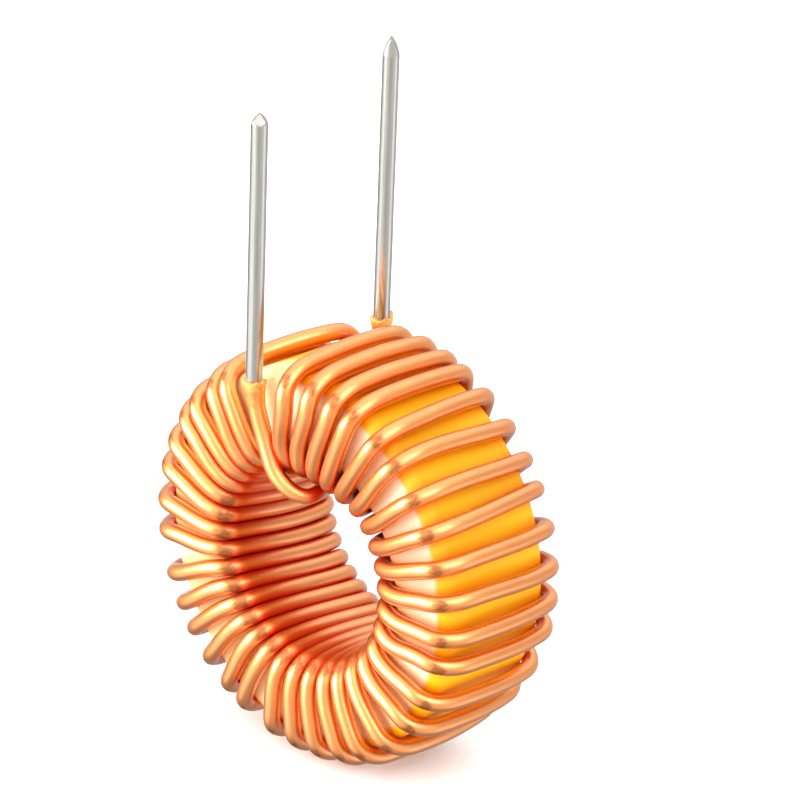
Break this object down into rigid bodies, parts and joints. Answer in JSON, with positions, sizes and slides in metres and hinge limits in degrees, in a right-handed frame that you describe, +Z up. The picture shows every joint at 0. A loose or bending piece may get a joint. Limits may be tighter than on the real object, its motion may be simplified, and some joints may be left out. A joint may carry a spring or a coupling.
{
  "type": "toroidal inductor",
  "caption": "Toroidal inductor: a yellow and white painted iron-powder ring wound all round with thick enamelled copper wire, whose tinned ends stand up as leads.",
  "frame": {"origin": "the middle of the ring's width on its centre line, on the surface that the lowest turns stand on", "axes": "+Z up along the leads, Y along the ring's axis with the white face and the front lead towards -Y, +X to the right as the white face is seen"},
  "size_m": [0.0359, 0.0168, 0.0598],
  "materials": {
    "core_paint": "gloss",
    "enamelled_copper": "gloss",
    "tinned_copper": "satin"
  },
  "bodies": {
    "root": {"core": "core_paint", "winding": "enamelled_copper", "front_lead": "tinned_copper", "rear_lead": "tinned_copper"}
  },
  "joints": []
}
